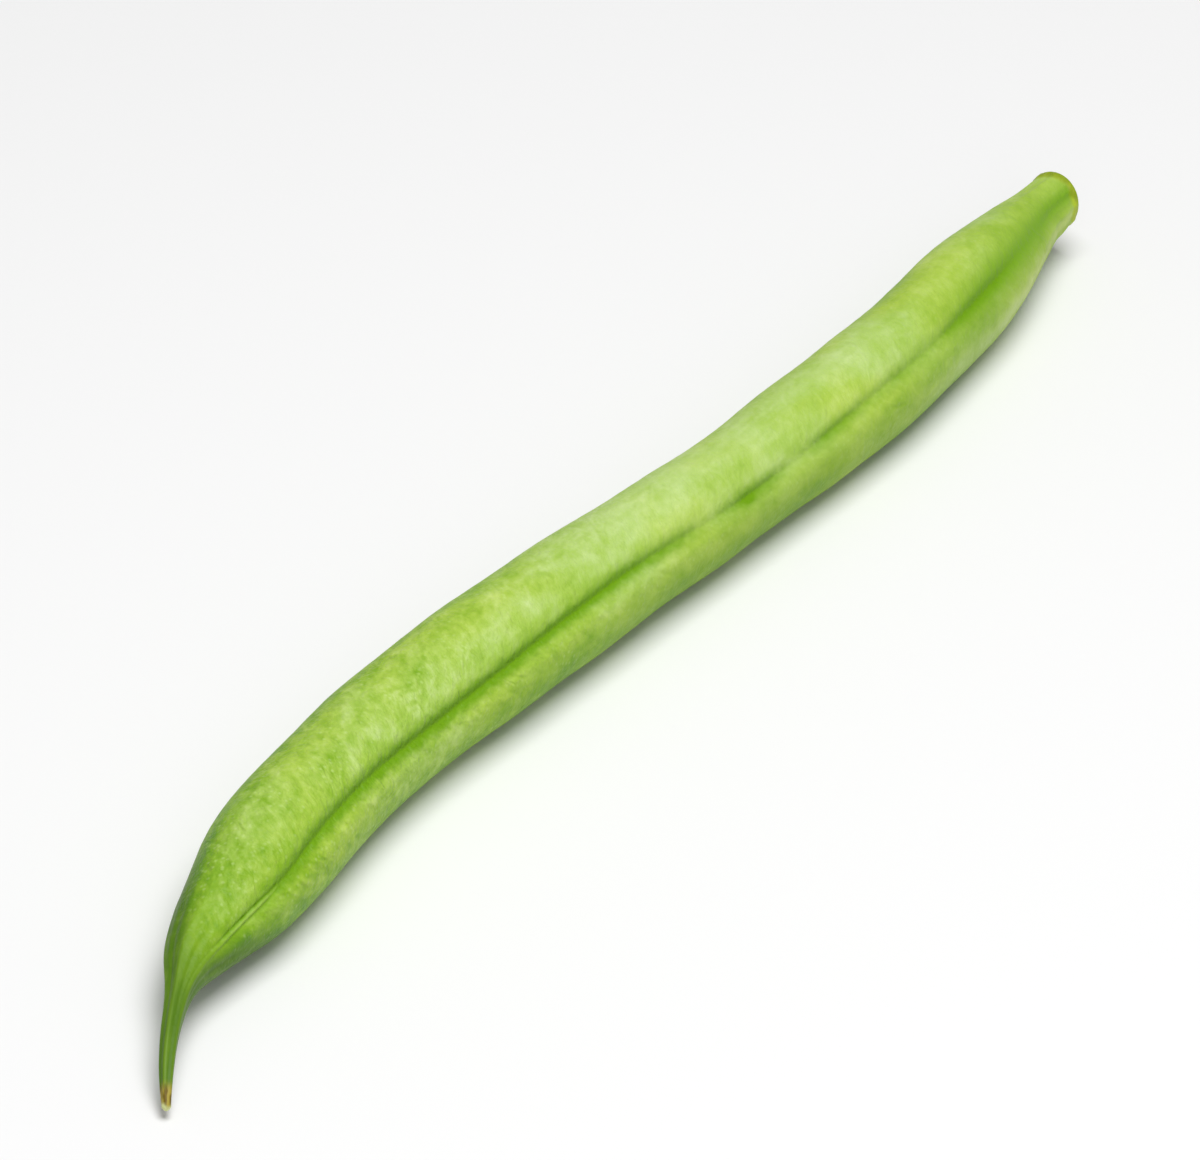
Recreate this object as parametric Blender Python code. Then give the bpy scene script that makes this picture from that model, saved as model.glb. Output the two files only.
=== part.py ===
"""A fresh green bean: one whole pod of the French bean, lying on a flat surface.

The pod grew as one piece, so it is one object, "pod": a round, slightly wavy body that narrows
to the neck where it hung from the plant, and at its other end a thin curved beak, the remains of
the flower's style. A shallow groove, the seam, runs along the side that shows.

The pod lies along X, with its beak at the low end, and rests on the plane z = 0. The origin is
the middle of its bounding box's underside.
"""

import math

import bmesh
import bpy
from mathutils import Matrix, Vector

MM = 0.001

# The pod's shape, as stations along its middle line from the beak's tip to the neck's end. Each is
# the distance along the pod from the shoulder, where the beak joins the body, then how far the pod
# bends sideways, the middle line's height, and the radius there, all in millimetres.
BEAK = (
    (-11.0, -5.70, 0.75, 0.26),
    (-9.2, -4.50, 1.90, 0.46),
    (-6.6, -3.05, 3.00, 0.58),
    (-4.2, -1.90, 3.55, 0.68),
    (-2.2, -0.98, 3.82, 0.94),
)
BODY = (
    (0.0, -0.15, 3.95, 1.60),
    (2.4, 0.35, 4.00, 2.30),
    (5.2, 0.75, 4.02, 3.00),
    (9.3, 1.15, 4.05, 3.85),
    (14.5, 1.90, 4.14, 4.26),
    (27.0, 2.85, 4.17, 4.29),
    (39.5, 2.15, 4.33, 4.45),
    (54.0, 0.80, 4.18, 4.30),
    (69.0, -0.95, 4.07, 4.00),
    (80.0, -1.80, 4.05, 4.14),
    (91.0, -2.35, 4.00, 4.12),
    (102.0, -2.00, 3.93, 4.00),
    (108.3, -1.60, 3.93, 3.60),
)
NECK = (
    (113.6, -1.20, 3.98, 2.76),
    (117.0, -1.00, 4.02, 2.14),
    (118.2, -0.98, 4.03, 2.08),
    (119.0, -1.08, 4.03, 2.20),
    (119.35, -1.18, 4.03, 2.12),
)
STATIONS = BEAK + BODY + NECK
STEPS_PER_STATION = 4
SIDES = 32

# The seam's direction in the pod's cross-section, above the horizontal on the -Y side. The pod
# is twisted a little, so it climbs from the shoulder to the neck.
SEAM_ANGLE_AT_SHOULDER = math.radians(27)
SEAM_ANGLE_AT_NECK = math.radians(46)
SEAM_HALF_WIDTH = math.radians(15)
SEAM_DEPTH = 0.06  # as a share of the radius
BACK_SEAM_DEPTH = 0.02

SCAR_RIM = 0.45 * MM  # width of the ring around the scar at the cut end of the neck
SCAR_DEPTH = 0.35 * MM

SHARP_ANGLE = math.radians(35)

SKIN_COLOUR = (0.27, 0.49, 0.075, 1.0)
SKIN_ROUGHNESS = 0.42


def between(p0, p1, p2, p3, t):
    """The point at share t of the way from p1 to p2, on the smooth curve through all four."""
    return 0.5 * (
        2 * p1
        + (p2 - p0) * t
        + (2 * p0 - 5 * p1 + 4 * p2 - p3) * t**2
        + (3 * p1 - p0 - 3 * p2 + p3) * t**3
    )


def middle_line():
    """(place, radius) of every ring of the pod, from the tip of the beak to the end of the neck."""
    rows = [Vector(station) * MM for station in STATIONS]
    rows = [2 * rows[0] - rows[1], *rows, 2 * rows[-1] - rows[-2]]
    rings = []
    for i in range(1, len(rows) - 2):
        for step in range(STEPS_PER_STATION):
            rings.append(between(*rows[i - 1 : i + 3], step / STEPS_PER_STATION))
    rings.append(rows[-2])
    return [(ring.to_3d(), ring.w) for ring in rings]


def ring_matrix(place, direction, radius, seam_angle):
    """Puts a unit circle across the pod there, with its own +X on the seam."""
    across = Vector((0, -math.cos(seam_angle), math.sin(seam_angle)))
    seam = (across - across.project(direction)).normalized()
    turn = Matrix((seam, direction.cross(seam), direction)).transposed()
    return Matrix.Translation(place) @ turn.to_4x4() @ Matrix.Scale(radius, 4)


def ring_matrices():
    rings = middle_line()
    places = [place for place, _ in rings]
    first, last = 0.0, BODY[-1][0] * MM
    for i, (place, radius) in enumerate(rings):
        direction = places[min(i + 1, len(places) - 1)] - places[max(i - 1, 0)]
        share = min(max((place.x - first) / (last - first), 0.0), 1.0)
        seam_angle = SEAM_ANGLE_AT_SHOULDER + share * (
            SEAM_ANGLE_AT_NECK - SEAM_ANGLE_AT_SHOULDER
        )
        yield ring_matrix(place, direction.normalized(), radius, seam_angle)


def cross_section(bm):
    """The pod's outline as a unit circle, pulled in along the seam and, less, at the back of it."""
    made = bmesh.ops.create_circle(bm, segments=SIDES, radius=1.0)
    for vert in made["verts"]:
        angle = math.atan2(vert.co.y, vert.co.x)
        front = math.exp(-((angle / SEAM_HALF_WIDTH) ** 2))
        back = math.exp(-(((math.pi - abs(angle)) / SEAM_HALF_WIDTH) ** 2))
        vert.co *= 1 - SEAM_DEPTH * front - BACK_SEAM_DEPTH * back
    return made["verts"]


def extrude_ring(bm, rim):
    """Extrudes an open rim of edges, and returns the new ring's vertices and edges."""
    made = bmesh.ops.extrude_edge_only(bm, edges=rim)["geom"]
    ring = [item for item in made if isinstance(item, bmesh.types.BMVert)]
    edges = [item for item in made if isinstance(item, bmesh.types.BMEdge)]
    return ring, [edge for edge in edges if all(vert in ring for vert in edge.verts)]


def loft(bm):
    """Extrudes the cross-section along the middle line, ring by ring, and closes both ends."""
    ring = cross_section(bm)
    rim = list(bm.edges)
    placed, *following = ring_matrices()
    bmesh.ops.transform(bm, matrix=placed, verts=ring)
    for matrix in following:
        ring, rim = extrude_ring(bm, rim)
        bmesh.ops.transform(bm, matrix=matrix @ placed.inverted(), verts=ring)
        placed = matrix
    open_edges = [edge for edge in bm.edges if edge.is_boundary]
    bmesh.ops.holes_fill(bm, edges=open_edges, sides=SIDES)
    bmesh.ops.recalc_face_normals(bm, faces=bm.faces)


def sink_scar(bm):
    """The round scar where the stalk came away: the neck's end face, sunk inside a narrow rim."""
    end = max(bm.faces, key=lambda face: face.calc_center_median().x)
    bmesh.ops.inset_region(bm, faces=[end], thickness=SCAR_RIM, depth=0.0)
    bmesh.ops.translate(bm, vec=-end.normal * SCAR_DEPTH, verts=end.verts)


def rest_on_table(bm):
    """Presses flat the underside that dips below z = 0, and centres the pod over the origin."""
    for vert in bm.verts:
        vert.co.z = max(vert.co.z, 0.0)
    middle = Vector((0, 0, 0))
    for axis in (0, 1):
        places = [vert.co[axis] for vert in bm.verts]
        middle[axis] = (min(places) + max(places)) / 2
    bmesh.ops.translate(bm, vec=-middle, verts=bm.verts)


def skin_material():
    material = bpy.data.materials.new("pod_skin")
    material.use_nodes = True
    shader = material.node_tree.nodes["Principled BSDF"]
    shader.inputs["Base Color"].default_value = SKIN_COLOUR
    shader.inputs["Roughness"].default_value = SKIN_ROUGHNESS
    shader.inputs["Metallic"].default_value = 0.0
    material.diffuse_color = SKIN_COLOUR
    return material


def make_pod():
    bm = bmesh.new()
    loft(bm)
    sink_scar(bm)
    rest_on_table(bm)
    mesh = bpy.data.meshes.new("pod")
    bm.to_mesh(mesh)
    bm.free()
    mesh.materials.append(skin_material())
    mesh.shade_smooth()
    mesh.set_sharp_from_angle(angle=SHARP_ANGLE)
    pod = bpy.data.objects.new("pod", mesh)
    bpy.context.scene.collection.objects.link(pod)
    return pod


def main():
    for old in list(bpy.data.objects):
        bpy.data.objects.remove(old)
    make_pod()


main()
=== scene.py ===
# %% [markdown]
# # A green bean
#
# One fresh French bean, lying on a pale table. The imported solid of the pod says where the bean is,
# how it bends and how thick it is. It has the right shape, but it is coarse and plain. This
# notebook makes the real skin around it: a fine closed mesh with the seam, the swellings over
# the seeds, the ribs of the beak and the scar at the neck, and a material that follows them.
#
# Everything is in metres in the end, because the frame is. The pod's own small sizes are easier
# to read in millimetres, so they are written as numbers of millimetres and turned into metres once.

# %% The frame
import math

import bmesh
import bpy
import numpy as np
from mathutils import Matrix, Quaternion, Vector, noise


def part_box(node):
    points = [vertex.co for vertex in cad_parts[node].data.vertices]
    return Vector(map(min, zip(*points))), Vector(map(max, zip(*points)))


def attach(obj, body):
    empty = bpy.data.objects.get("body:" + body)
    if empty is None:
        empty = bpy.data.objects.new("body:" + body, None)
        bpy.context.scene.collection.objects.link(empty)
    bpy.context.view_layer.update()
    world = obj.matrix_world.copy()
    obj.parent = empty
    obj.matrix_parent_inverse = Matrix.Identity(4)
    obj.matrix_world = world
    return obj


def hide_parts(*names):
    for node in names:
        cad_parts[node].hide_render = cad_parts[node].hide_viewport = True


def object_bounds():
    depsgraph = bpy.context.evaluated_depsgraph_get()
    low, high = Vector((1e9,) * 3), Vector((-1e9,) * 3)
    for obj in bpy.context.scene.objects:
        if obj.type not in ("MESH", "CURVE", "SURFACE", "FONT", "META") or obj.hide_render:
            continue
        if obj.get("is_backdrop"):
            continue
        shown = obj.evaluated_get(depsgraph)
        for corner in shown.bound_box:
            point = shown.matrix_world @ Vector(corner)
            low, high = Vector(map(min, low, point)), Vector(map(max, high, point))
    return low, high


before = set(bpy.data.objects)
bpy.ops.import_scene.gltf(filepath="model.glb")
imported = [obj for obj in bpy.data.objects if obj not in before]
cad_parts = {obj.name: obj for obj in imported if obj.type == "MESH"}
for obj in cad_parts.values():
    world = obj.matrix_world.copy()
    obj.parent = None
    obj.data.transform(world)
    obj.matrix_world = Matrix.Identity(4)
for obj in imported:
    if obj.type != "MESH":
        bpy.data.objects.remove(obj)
cad_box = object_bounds()
pod_low, pod_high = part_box("pod")
MM = 0.001
print("the pod is", [round(size / MM, 1) for size in pod_high - pod_low], "mm")

# %% [markdown]
# ## Measuring the solid
#
# A bean is a bent tube whose thickness changes along it. To make a finer one in the same place, we
# have to know its middle line and its radius. We could type them in again, but then two files
# would have to agree. It is safer to measure: a plane across the solid cuts it in an outline, and
# the outline's centre and its length give the middle and the mean radius there. The seam is a
# groove, so it lies where the outline comes nearest to the centre.

# %% Cut the solid across
solid = bmesh.new()
solid.from_mesh(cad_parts["pod"].data)
MERGE_DISTANCE = 0.001 * MM
bmesh.ops.remove_doubles(solid, verts=solid.verts, dist=MERGE_DISTANCE)


def slice_pod(place, direction):
    """The centre, mean radius and seam angle of the outline in which a plane cuts the pod."""
    whole = solid.copy()
    cut = bmesh.ops.bisect_plane(
        whole,
        geom=[*whole.verts, *whole.edges, *whole.faces],
        plane_co=place,
        plane_no=direction,
    )["geom_cut"]
    outline = [item for item in cut if isinstance(item, bmesh.types.BMEdge)]
    lengths = np.array([edge.calc_length() for edge in outline])
    middles = np.array([(edge.verts[0].co + edge.verts[1].co) / 2 for edge in outline])
    centre = lengths @ middles / lengths.sum()
    corners = np.array([edge.verts[0].co for edge in outline]) - centre
    near_side = corners[(corners[:, 1] < 0) & (corners[:, 2] > 0)]
    seam = near_side[np.argmin(np.linalg.norm(near_side, axis=1))]
    whole.free()
    return centre, lengths.sum() / (2 * math.pi), math.atan2(seam[2], -seam[1])


SLICE_GAP = 1.0 * MM
END_GAP = 1.5 * MM  # the scar is sunk into the last part of the neck, so no slice goes there
slice_x = np.arange(pod_low.x + SLICE_GAP / 2, pod_high.x - END_GAP, SLICE_GAP)
rough = np.array([slice_pod((x, 0, 0), (1, 0, 0))[0] for x in slice_x])
print(len(rough), "rough slices")

# %% [markdown]
# The first slices stand square to X, and the beak runs at a slant, so they cut it in ellipses.
# A second round of slices stands square to the line that the first round found.

# %% Cut it again, square to its middle line
rough_direction = np.gradient(rough, axis=0)
slices = [slice_pod(place, turn) for place, turn in zip(rough, rough_direction, strict=True)]
centres = np.array([one[0] for one in slices])
radii = np.array([one[1] for one in slices])
seam_angles = np.array([one[2] for one in slices])
print("radius from", round(radii.min() / MM, 2), "to", round(radii.max() / MM, 2), "mm")


# %% [markdown]
# The slices stop short of both ends. The line is run on straight to the solid's first and last
# point, then read again every tenth of a millimetre and smoothed, so that none of the solid's flat
# facets come through in the skin.

# %% A smooth middle line
def run_on(centre, towards):
    """How far the solid reaches past this centre in a direction."""
    turn = towards / np.linalg.norm(towards)
    return turn, max((np.array(vert.co) - centre) @ turn for vert in solid.verts)


tip_turn, tip_reach = run_on(centres[0], centres[0] - centres[1])
neck_turn, neck_reach = run_on(centres[-1], centres[-1] - centres[-2])
line = np.vstack(
    [centres[0] + tip_turn * tip_reach, centres, centres[-1] + neck_turn * neck_reach]
)
girth = np.concatenate([radii[:1], radii, radii[-1:]])
knots = np.concatenate([[0], np.cumsum(np.linalg.norm(np.diff(line, axis=0), axis=1))])

LENGTH = knots[-1] / MM
FINE_GAP = 0.1
SMOOTHING = 0.8
fine_along = np.arange(0, LENGTH + FINE_GAP, FINE_GAP)


def smooth(values, width=SMOOTHING):
    """Evens out a row of values read every FINE_GAP, and keeps their slope at both ends."""
    reach = round(3 * width / FINE_GAP)
    weights = np.exp(-0.5 * (np.arange(-reach, reach + 1) * FINE_GAP / width) ** 2)
    padded = np.pad(values, reach, mode="reflect", reflect_type="odd")
    return np.convolve(padded, weights / weights.sum(), mode="valid")


fine_line = np.stack(
    [smooth(np.interp(fine_along, knots / MM, line[:, axis] / MM)) for axis in range(3)], axis=1
)
fine_radius = smooth(np.interp(fine_along, knots / MM, girth / MM))
print("the pod is", round(LENGTH, 1), "mm long round its bends")

# %% [markdown]
# ## Where things are along the pod
#
# Distances along the pod are in millimetres from the beak's tip. Two places matter to all that
# follows: the shoulder, where the thin beak opens into the body, and the end of the neck. The
# seam's angle is a straight line through what the slices found between those two.

# %% The shoulder, the neck and the seam
SHOULDER_SHARE = 0.36  # of the full radius: where the beak ends and the body starts
SEAM_CLEAR, SEAM_END = 6, 8  # the seam is clear this far past the shoulder and short of the end
SHOULDER = fine_along[np.argmax(fine_radius > SHOULDER_SHARE * fine_radius.max())]
slice_places = knots[1:-1] / MM
on_body = (slice_places > SHOULDER + SEAM_CLEAR) & (slice_places < LENGTH - SEAM_END)
seam_line = np.polynomial.Polynomial.fit(slice_places[on_body], seam_angles[on_body], 1)
fine_seam = seam_line(np.clip(fine_along, SHOULDER, LENGTH - SEAM_END))
print("shoulder at", round(SHOULDER, 1), "mm")
print("seam angle", [round(math.degrees(seam_line(place))) for place in (SHOULDER, LENGTH)])


def ease(values, start, end):
    """0 before start, 1 after end, and a smooth step between them; end may be below start."""
    part = np.clip((values - start) / (end - start), 0, 1)
    return part * part * (3 - 2 * part)


def bump(values, middle, width):
    """1 at the middle, falling off to nothing a few widths away."""
    return np.exp(-(((values - middle) / width) ** 2))


# %% [markdown]
# ## The blank
#
# A pod could be lofted straight along its bent line. It is easier to work on a straight one, as on
# a lathe: first a smooth spindle, then the carving, then the bend. On the straight spindle every
# point has two plain numbers, its distance along the pod and its angle round it from the seam.
#
# The outline starts on the axis at the beak's tip and rounds over. It ends on the axis again, in
# the middle of the scar. `spin` turns it round, as a lathe does.

# %% The outline of the blank
TIP_ROUNDING = 0.3
BEAK_GAP, BODY_GAP, NECK_GAP = 0.2, 0.27, 0.16  # from one point of the outline to the next
BEAK_POINTS_TO = SHOULDER + 8
NECK_POINTS_FROM, NECK_POINTS_TO = LENGTH - 12, LENGTH - 0.3
TIP_POINTS = 7
SCAR_OUTLINE = (  # from the rim to the scar's middle: depth, and share of the neck's radius
    (0.24, 1.0),
    (0.11, 0.985),
    (0.03, 0.95),
    (0.0, 0.90),
    (0.03, 0.87),
    (0.12, 0.835),
    (0.24, 0.80),
    (0.31, 0.74),
    (0.33, 0.66),
    (0.32, 0.56),
    (0.28, 0.46),
    (0.27, 0.38),
    (0.24, 0.30),
    (0.18, 0.22),
    (0.15, 0.12),
    (0.14, 0.0),
)
scar_depth, scar_share = np.array(SCAR_OUTLINE).T
scar_steps = np.linspace(0, len(SCAR_OUTLINE) - 1, 2 * len(SCAR_OUTLINE) - 1)
station_places = np.concatenate(
    [
        TIP_ROUNDING * (1 - np.cos(np.linspace(0, math.pi / 2, TIP_POINTS))),
        np.arange(TIP_ROUNDING + BEAK_GAP, BEAK_POINTS_TO, BEAK_GAP),
        np.arange(BEAK_POINTS_TO, NECK_POINTS_FROM, BODY_GAP),
        np.arange(NECK_POINTS_FROM, NECK_POINTS_TO, NECK_GAP),
        LENGTH - np.interp(scar_steps, range(len(SCAR_OUTLINE)), scar_depth),
    ]
)
wall_count = len(station_places) - len(scar_steps)
station_radii = np.interp(station_places, fine_along, fine_radius)
at_tip = np.clip(station_places / TIP_ROUNDING, 0, 1)
station_radii[:wall_count] *= np.sqrt(1 - (1 - at_tip[:wall_count]) ** 2)
station_radii[wall_count:] = fine_radius[-1] * np.interp(
    scar_steps, range(len(SCAR_OUTLINE)), scar_share
)
print(len(station_places), "points on the outline,", wall_count, "of them on the wall")

# %% Turn it on the lathe
SIDES = 160
POLE_MERGE = 1e-5  # how close together the many points of a pole lie, in millimetres
blank = bmesh.new()
station_layer = blank.verts.layers.int.new("station")
outline = [
    blank.verts.new((place, -radius, 0))
    for place, radius in zip(station_places, station_radii, strict=True)
]
for station, vert in enumerate(outline):
    vert[station_layer] = station
edges = [blank.edges.new(pair) for pair in zip(outline[:-1], outline[1:], strict=True)]
bmesh.ops.spin(
    blank,
    geom=[*outline, *edges],
    cent=(0, 0, 0),
    axis=(1, 0, 0),
    angle=2 * math.pi,
    steps=SIDES,
    use_merge=True,
)
bmesh.ops.remove_doubles(blank, verts=blank.verts, dist=POLE_MERGE)
bmesh.ops.recalc_face_normals(blank, faces=blank.faces)


def order(face):
    """A number of its own for each face, from the points at its corners."""
    corners = [vert.index for vert in face.verts]
    return min(corners) * len(blank.verts) + max(corners)


blank.verts.index_update()
blank.faces.sort(key=order)  # spin makes them in an order that changes from run to run
mesh = bpy.data.meshes.new("pod_skin")
blank.to_mesh(mesh)
blank.free()
print(len(mesh.vertices), "points,", len(mesh.polygons), "faces")

# %% [markdown]
# A groove as fine as the seam needs finer faces than the rest of the skin. The points are moved
# round the blank so that they stand closest together at the seam, at angle 0, and furthest apart
# at the pod's back, half a turn away.

# %% Read the blank as distances and angles
CROWDING = 0.55  # 0 leaves the points evenly spaced; towards 1 they crowd at the seam
count = len(mesh.vertices)
station = np.empty(count, np.int32)
mesh.attributes["station"].data.foreach_get("value", station)
blank_points = np.empty(3 * count)
mesh.vertices.foreach_get("co", blank_points)
blank_points = blank_points.reshape(count, 3)
even_angle = np.arctan2(blank_points[:, 2], blank_points[:, 1])
angle = even_angle - CROWDING * np.sin(even_angle)
along = station_places[station]
radius = station_radii[station]
wall = station < wall_count
past_shoulder = along - SHOULDER
to_end = LENGTH - along
even_width = fine_radius.max() * 2 * math.pi / SIDES
print("faces at the seam are", round(even_width * (1 - CROWDING), 3), "mm wide")

# %% [markdown]
# ## Carving
#
# Each of the next cells works out one kind of relief, in millimetres out from the smooth blank, for
# every point at once. They are kept apart so that each can be looked at and changed on its own.
#
# The seeds come first. They sit one after another inside the pod and push its sides out a little,
# more to the left and right of the seam than on it. No two gaps between them are the same.

# %% Swellings over the seeds
FIRST_SEED, LAST_SEED = 15, 14  # past the shoulder, and short of the end
SEED_GAP, GAP_CHANGE = 12.6, 1.6
SEED_RISE, SEED_WIDTH = 0.13, 4.2
RISE_CHANGE = (0.6, 1.25)
RISE_AT_SEAM = 0.45  # the share of a swelling that is left on the seam itself
shuffle = np.random.default_rng(7)
seed_places = np.arange(SHOULDER + FIRST_SEED, LENGTH - LAST_SEED, SEED_GAP)
seed_places = seed_places + shuffle.uniform(-GAP_CHANGE, GAP_CHANGE, len(seed_places))
seed_rises = SEED_RISE * shuffle.uniform(*RISE_CHANGE, len(seed_places))
seeds = sum(
    rise * bump(along, place, SEED_WIDTH)
    for place, rise in zip(seed_places, seed_rises, strict=True)
)
seeds = seeds * (RISE_AT_SEAM + (1 - RISE_AT_SEAM) * np.sin(angle) ** 2)
print(len(seed_places), "seeds")

# %% [markdown]
# The seam runs from the beak to the neck, where the pod would open. It isn't straight: it
# sways a few degrees to either side between the seeds. The crease in it is sharp over the first
# half of the pod, breaks off and starts again, and fades at the neck.
#
# Such changes are easiest to write as a short list of places and values. `np.interp` reads it in
# between, and `smooth` rounds the corners off.

# %% How the seam sways, and how strong its crease is
SEAM_SWAY = (  # distance past the shoulder, and how far the seam has turned, in degrees
    (-12, 0),
    (0, 7),
    (6, 2),
    (14, -8),
    (22, -3),
    (31, 7),
    (42, 4),
    (54, -1),
    (67, 9),
    (79, 6),
    (87, 3),
    (96, 5),
    (106, 3),
    (118, 3),
)
CREASE_STRENGTH = (  # distance past the shoulder, and share of the crease's full depth
    (-6, 0.0),
    (0, 0.15),
    (3, 0.75),
    (9, 0.85),
    (14, 1.0),
    (36, 1.05),
    (53, 1.0),
    (56, 0.75),
    (60, 0.75),
    (63, 0.3),
    (65, 0.4),
    (67, 0.75),
    (71, 0.75),
    (74, 0.1),
    (77, 0.7),
    (81, 0.7),
    (84, 0.5),
    (88, 0.6),
    (92, 0.35),
    (94, 0.5),
    (98, 0.85),
    (103, 0.95),
    (107, 0.5),
    (112, 0.1),
    (119, 0.0),
)
SWAY_ROUNDING, STRENGTH_ROUNDING = 3.5, 0.9


def smooth_list(pairs, values, width=2.5):
    """Reads a list of (place, value) past the shoulder, smoothly, at other places."""
    places, levels = np.array(pairs, float).T
    fine_levels = smooth(np.interp(fine_along - SHOULDER, places, levels), width)
    return np.interp(values, fine_along - SHOULDER, fine_levels)


def wrapped(turn):
    """An angle, brought back to within half a turn of zero."""
    return (turn + math.pi) % (2 * math.pi) - math.pi


sway = np.radians(smooth_list(SEAM_SWAY, past_shoulder, SWAY_ROUNDING))
crease_strength = smooth_list(CREASE_STRENGTH, past_shoulder, STRENGTH_ROUNDING)
from_seam = wrapped(angle - sway)
print("the seam sways by up to", round(math.degrees(np.abs(sway).max()), 1), "degrees")

# %% [markdown]
# Across the pod, the seam is a wide shallow valley with a narrow crease in the middle, and a soft
# lip on both sides of it. All of them are bumps, up or down, at their own angle from the seam.
# Depths are in millimetres, and widths are angles in radians. Near the beak the crease splits in
# two, with a fine ridge between, and towards the neck it widens. The fullness is what lets the
# valley and the lips begin at the shoulder and die out at the end of the neck.

# %% The seam
VALLEY_DEPTH, VALLEY_WIDTH = 0.22, 0.26
CREASE_DEPTH, CREASE_WIDTH = 0.20, 0.075
LIP_HEIGHT, LIP_PLACE, LIP_WIDTH = 0.06, 0.27, 0.13
NECK_FROM, NECK_TO = 30, 18  # from the end: where the neck's changes begin, and are complete
WIDER_AT_NECK = 0.5
FORK_FROM, FORK_TO = 9.5, 6.0  # past the shoulder: still one crease, and split in two
FORK_SPREAD = 0.21
RIDGE_HEIGHT, RIDGE_WIDTH = 0.05, 0.10
THIN = 0.4  # where the blank's radius is less than this, relief is held back
forked = ease(past_shoulder, FORK_FROM, FORK_TO)
split = FORK_SPREAD * forked / np.maximum(radius, THIN)
fullness = ease(past_shoulder, -3, 9) * ease(to_end, 0, 7)
at_neck = ease(to_end, NECK_FROM, NECK_TO)
widening = (1 + WIDER_AT_NECK * at_neck) * (1 - 0.2 * forked)
upper_crease = bump(from_seam, -split, CREASE_WIDTH * widening)
lower_crease = (1 - 0.35 * forked) * bump(from_seam, split, CREASE_WIDTH * widening)
crease = crease_strength * np.maximum(upper_crease, lower_crease)
valley = fullness * bump(from_seam, 0, VALLEY_WIDTH * (1 + WIDER_AT_NECK * at_neck))
lips = bump(from_seam, -LIP_PLACE, LIP_WIDTH) + bump(from_seam, LIP_PLACE, LIP_WIDTH)
lips *= fullness * (1 - 0.6 * ease(past_shoulder, 56, 66)) * (1 - 0.6 * at_neck)
ridge = bump(from_seam * radius, 0, RIDGE_WIDTH) * forked * ease(past_shoulder, 0, 4)
seam = LIP_HEIGHT * lips - VALLEY_DEPTH * valley - CREASE_DEPTH * crease
seam += RIDGE_HEIGHT * ridge
print("the seam is up to", round(-seam.min(), 2), "mm deep")

# %% [markdown]
# At the back of the pod is its other seam, where the two halves are grown together for good. It is
# only a low rib between two faint valleys.

# %% The rib at the back
BACK_RIB_HEIGHT, BACK_RIB_WIDTH = 0.05, 0.07
BACK_VALLEY_DEPTH, BACK_VALLEY_WIDTH = 0.07, 0.30
from_back = math.pi - np.abs(angle)
back_rib = BACK_RIB_HEIGHT * bump(from_back, 0, BACK_RIB_WIDTH)
back_rib -= BACK_VALLEY_DEPTH * bump(from_back, 0, BACK_VALLEY_WIDTH)
back_rib = back_rib * fullness
rib_top = BACK_RIB_HEIGHT - BACK_VALLEY_DEPTH
print("the rib stands", round(rib_top - back_rib.min(), 2), "mm above its valleys")

# %% [markdown]
# The beak is what is left of the flower. It is a thin stalk of fibres, so it has ribs along it,
# and they run on over the shoulder and die out. The neck has finer ones.

# %% Ribs of the beak and the neck
BEAK_RIBS, BEAK_RIB_SHARE = 5, 0.085  # how many round the beak, and their share of its radius
SHOULDER_RIBS, SHOULDER_RIB_HEIGHT = 15, 0.03
NECK_RIBS, NECK_RIB_HEIGHT = 9, 0.035
FINE_NECK_RIBS, FINE_NECK_RIB_HEIGHT = 21, 0.015
drift = np.array([noise.noise(Vector((place * 0.21, 3.1, 7.7))) for place in station_places])
wander = 0.5 * drift[station]
rib_wave = np.cos(BEAK_RIBS * from_seam + 0.6 * wander * np.sin(from_seam))
beak_ribs = BEAK_RIB_SHARE * radius * rib_wave * ease(past_shoulder, 3.5, -3)
shoulder_ribs = np.cos(SHOULDER_RIBS * from_seam + 3 * wander * np.sin(from_seam))
shoulder_ribs *= SHOULDER_RIB_HEIGHT * bump(past_shoulder, 1.5, 4.5)
neck_ribs = NECK_RIB_HEIGHT * np.cos(NECK_RIBS * angle + 2 * wander + 1.0) * ease(to_end, 13, 4)
fine_ribs = FINE_NECK_RIB_HEIGHT * np.cos(FINE_NECK_RIBS * angle + 4 * wander)
neck_ribs += fine_ribs * ease(to_end, 9, 3)
ribs = (beak_ribs + shoulder_ribs + neck_ribs) * ease(along, 0, 1.5)
print("ribs up to", round(ribs.max(), 3), "mm")

# %% [markdown]
# No living skin is as even as a turned blank. `mathutils.noise` gives a smooth random value for a
# place in space, so sampling it on the straight blank dents and swells the skin all round with no
# join where the angles meet. Two sizes of lumps are a little longer than wide. The smallest, the
# crinkle, runs across the pod at a slant, so it is read from places that are sheared round the pod.

# %% Lumps
LUMPS = ((7.0, 0.10), (2.6, 0.035))  # size and height of the lumps
LUMP_LENGTH = 1.6  # times as long as wide
CRINKLE_SIZE, CRINKLE_HEIGHT = 1.0, 0.016
CRINKLE_WIDTH = 2.6  # times as wide as long
CRINKLE_SLANT = -0.45  # millimetres along for each millimetre round
straight = np.stack([along, radius * np.cos(angle), radius * np.sin(angle)], axis=1)
slanted = straight + [[1, 0, 0]] * (CRINKLE_SLANT * radius * np.abs(angle))[:, None]
lumps = np.zeros(count)
for size, height in LUMPS:
    stretched = straight / (size * LUMP_LENGTH, size, size)
    lumps += height * np.array([noise.noise(Vector(place)) for place in stretched])
crinkle_width = CRINKLE_WIDTH * CRINKLE_SIZE
stretched = slanted / (CRINKLE_SIZE, crinkle_width, crinkle_width)
lumps += CRINKLE_HEIGHT * np.array([noise.noise(Vector(place)) for place in stretched])
lumps *= ease(radius, 0.6, 3.0)
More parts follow.
